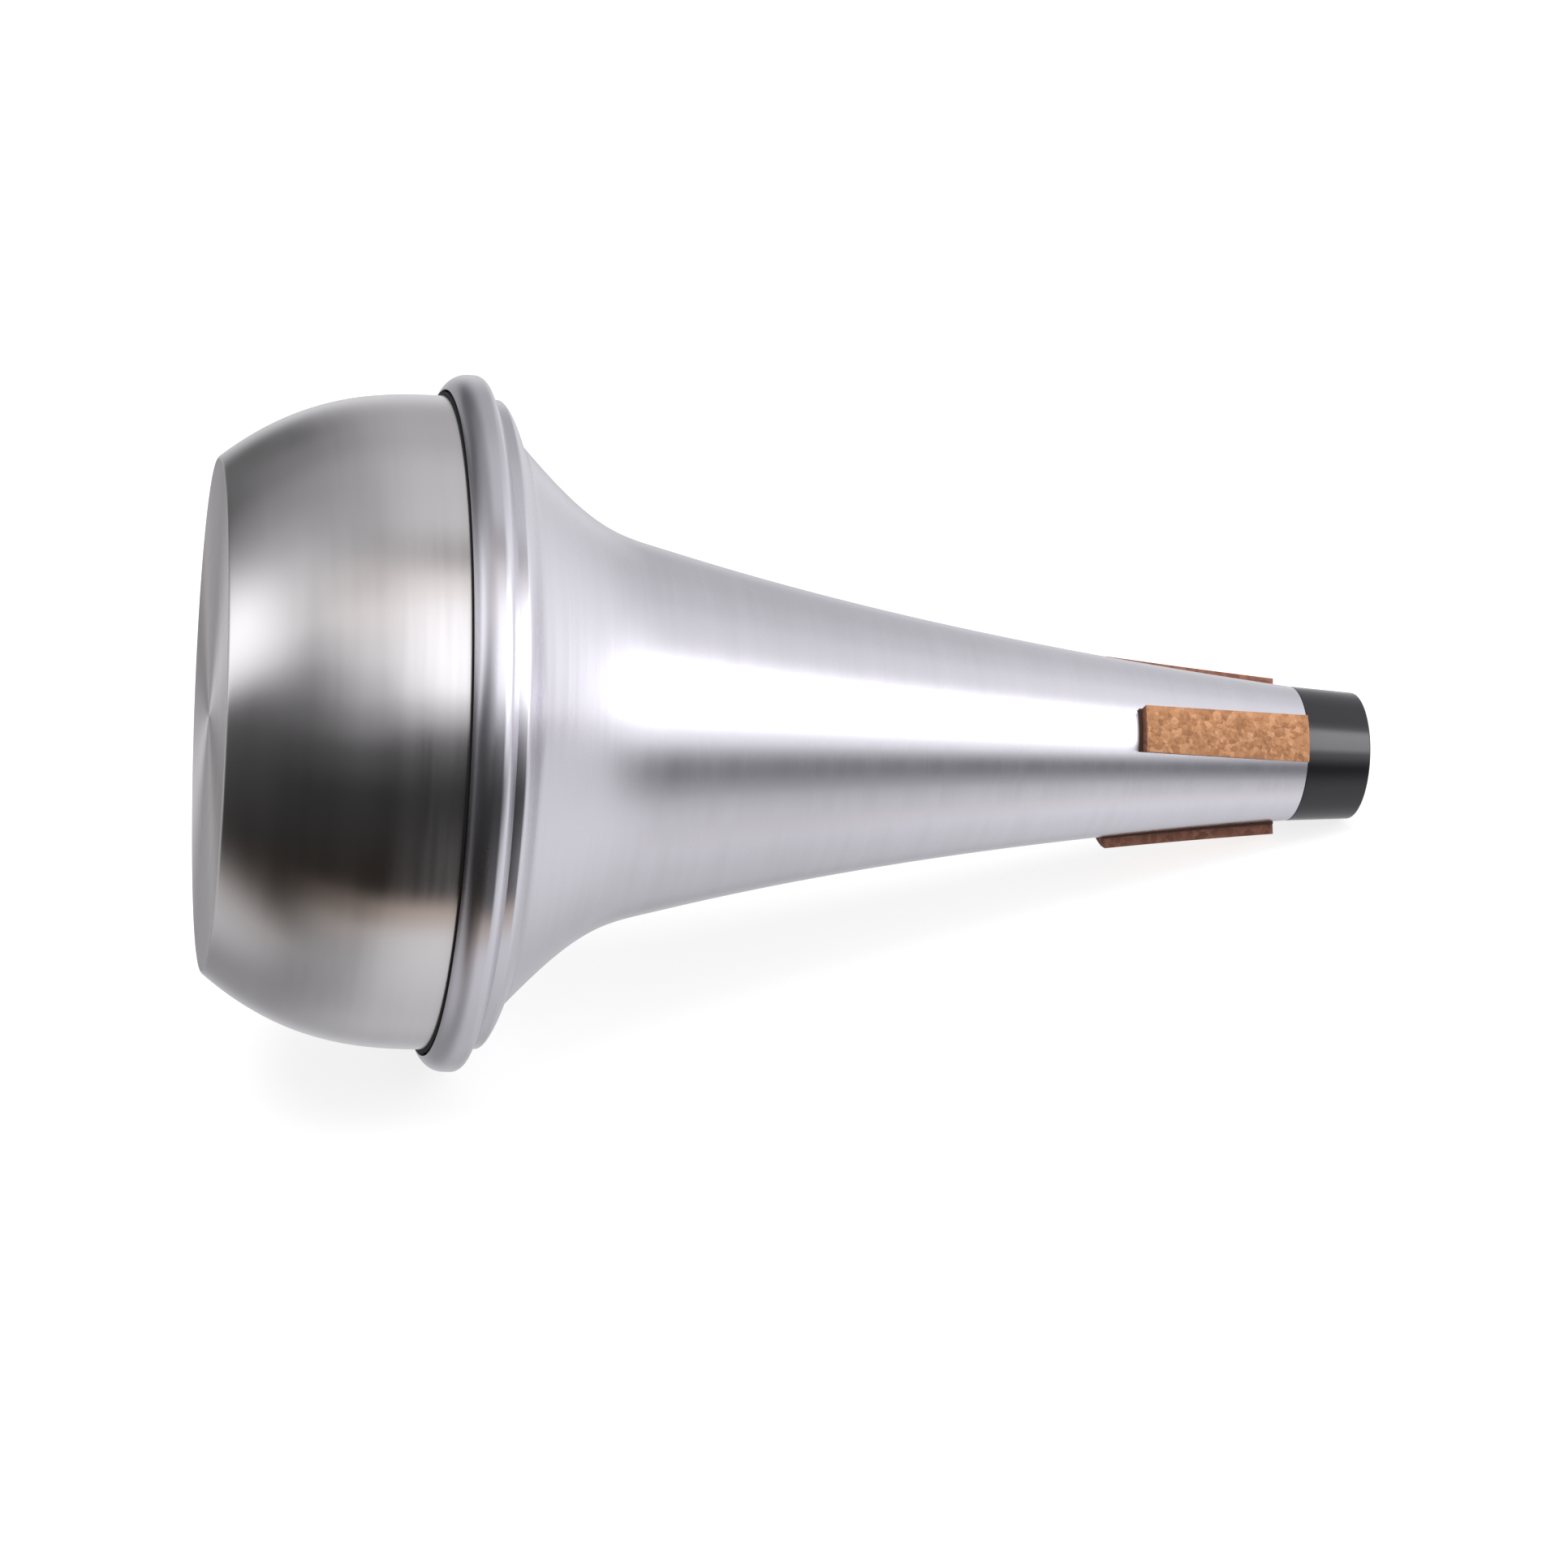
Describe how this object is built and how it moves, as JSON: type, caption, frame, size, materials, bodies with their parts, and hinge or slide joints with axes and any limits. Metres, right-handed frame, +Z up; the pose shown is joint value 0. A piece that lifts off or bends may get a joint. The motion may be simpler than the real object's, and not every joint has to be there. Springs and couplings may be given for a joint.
{
  "type": "trombone mute",
  "caption": "Spun aluminium practice mute for a trombone bell: a flared cone with cork strips and an open throat, closed by a rounded bowl with a flat base.",
  "frame": {"origin": "on the table, under the middle of the mute's box, with the mute lying on its rolled bead and on the end of its throat sleeve", "axes": "+X towards the throat, +Y across the mute, +Z up. The mute's own axis runs down towards the throat, 16.7 degrees below +X, through (-0.10948, 0, 0.08181) at the base and (0.12035, 0, 0.0127) at the throat"},
  "size_m": [0.2482, 0.1406, 0.1363],
  "materials": {
    "cone_metal": "spun and finely brushed round the axis, satin",
    "bowl_metal": "spun and finely brushed round the axis, satin",
    "seal_rubber": "matt black",
    "sleeve_plastic": "turned black plastic, satin",
    "cork": "pressed cork granules, matt",
    "adhesive": "dried dark contact adhesive",
    "felt": "grey wool felt"
  },
  "bodies": {
    "root": {"front_cone": "cone_metal", "rear_bowl": "bowl_metal", "seam_seal": "seal_rubber", "throat_sleeve": "sleeve_plastic", "cork_strip_lower": "cork", "cork_strip_left": "cork", "cork_strip_right": "cork", "cork_adhesive_lower": "adhesive", "cork_adhesive_left": "adhesive", "cork_adhesive_right": "adhesive", "damping_disc": "felt"}
  },
  "joints": []
}
